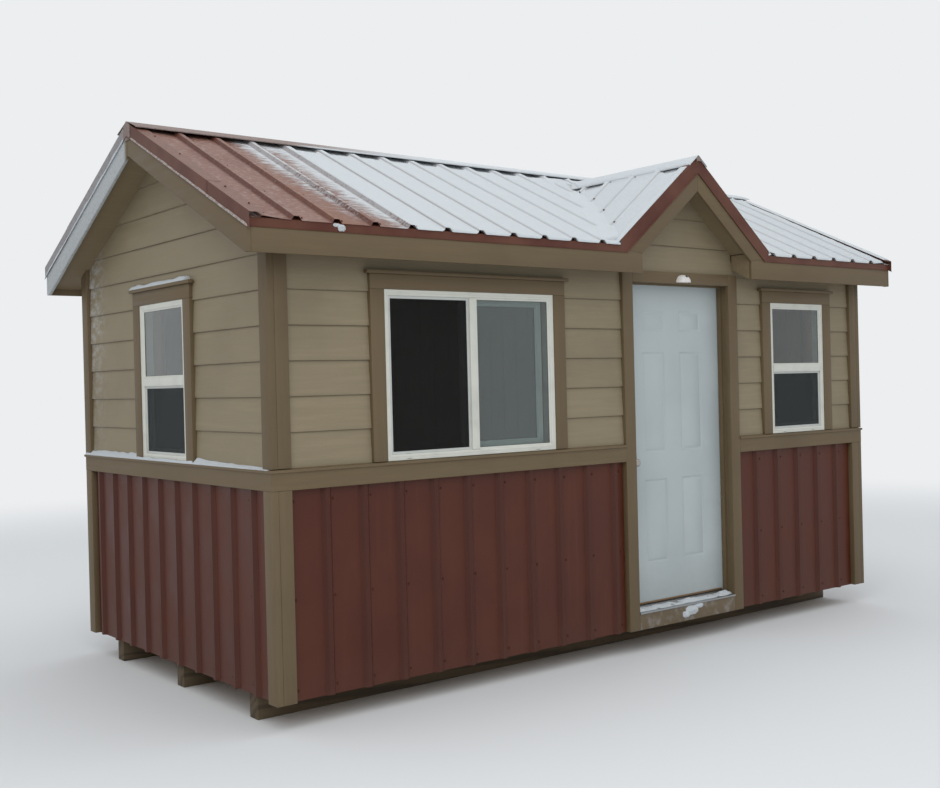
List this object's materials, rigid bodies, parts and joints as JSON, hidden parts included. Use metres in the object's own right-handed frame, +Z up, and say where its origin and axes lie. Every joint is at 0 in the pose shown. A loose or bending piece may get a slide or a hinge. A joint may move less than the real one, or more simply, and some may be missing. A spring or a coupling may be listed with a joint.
{
  "type": "storage shed",
  "caption": "Gabled storage shed on skids with lap siding over a ribbed metal wainscot, ribbed metal roof, a small dormer over its hinged door, and vinyl windows.",
  "frame": {"origin": "on the ground under the middle of the building, at the skids' underside", "axes": "+X to the right along the front wall, which faces -Y; +Y to the back; +Z up"},
  "size_m": [5.328, 2.8348, 3.2161],
  "materials": {
    "siding_paint": "satin paint, wood grain embossed",
    "trim_paint": "satin paint",
    "wall_metal": "satin, weathered",
    "roof_metal": "satin, weathered",
    "flashing": "satin",
    "window_vinyl": "satin",
    "pane": "clear",
    "screen_mesh": "matt",
    "door_paint": "satin",
    "hardware": "satin",
    "lumber": "bare",
    "sheathing": "bare",
    "treated_timber": "weathered",
    "lamp_plastic": "gloss",
    "sill_metal": "mill"
  },
  "bodies": {
    "shed": {"skids": "treated_timber", "floor_rims": "treated_timber", "floor_joists": "treated_timber", "floor_deck": "sheathing", "front_wall_left": "lumber", "front_wall_right": "lumber", "front_wall_header": "lumber", "back_wall": "lumber", "left_wall": "lumber", "right_wall": "lumber", "front_wainscot": "wall_metal", "back_wainscot": "wall_metal", "left_wainscot": "wall_metal", "right_wainscot": "wall_metal", "front_siding": "siding_paint", "back_siding": "siding_paint", "left_siding": "siding_paint", "right_siding": "siding_paint", "corner_boards": "trim_paint", "belt_trim": "trim_paint", "door_trim": "trim_paint", "door_frame": "trim_paint", "door_sill": "sill_metal", "hinge_frame_leaves": "hardware", "porch_light": "lamp_plastic", "window_frames": "window_vinyl", "window_sashes": "window_vinyl", "window_glass": "pane", "window_screens": "screen_mesh", "window_trims": "trim_paint", "rafters": "lumber", "ridge_board": "lumber", "roof_deck_front": "sheathing", "roof_deck_back": "sheathing", "soffits": "trim_paint", "eave_fascias": "trim_paint", "rake_fascias": "trim_paint", "dormer_fascias": "trim_paint", "dormer_deck": "sheathing", "dormer_rafters": "lumber", "dormer_soffit": "trim_paint", "dormer_wall": "sheathing", "roof_metal_front": "roof_metal", "roof_metal_back": "roof_metal", "dormer_metal": "roof_metal", "valley_flashing": "flashing", "drip_edges": "flashing", "rake_trims": "flashing", "dormer_rake_trims": "flashing", "ridge_cap": "roof_metal", "dormer_ridge_cap": "roof_metal"},
    "door": {"door_slab": "door_paint", "door_knobs": "hardware", "hinge_door_leaves": "hardware"}
  },
  "joints": [
    {"name": "door_hinge", "type": "hinge", "parent": "shed", "child": "door", "pos_m": [0.99, -1.0905, 1.29], "axis": [0, 0, -1], "range_deg": [0, 100]}
  ]
}
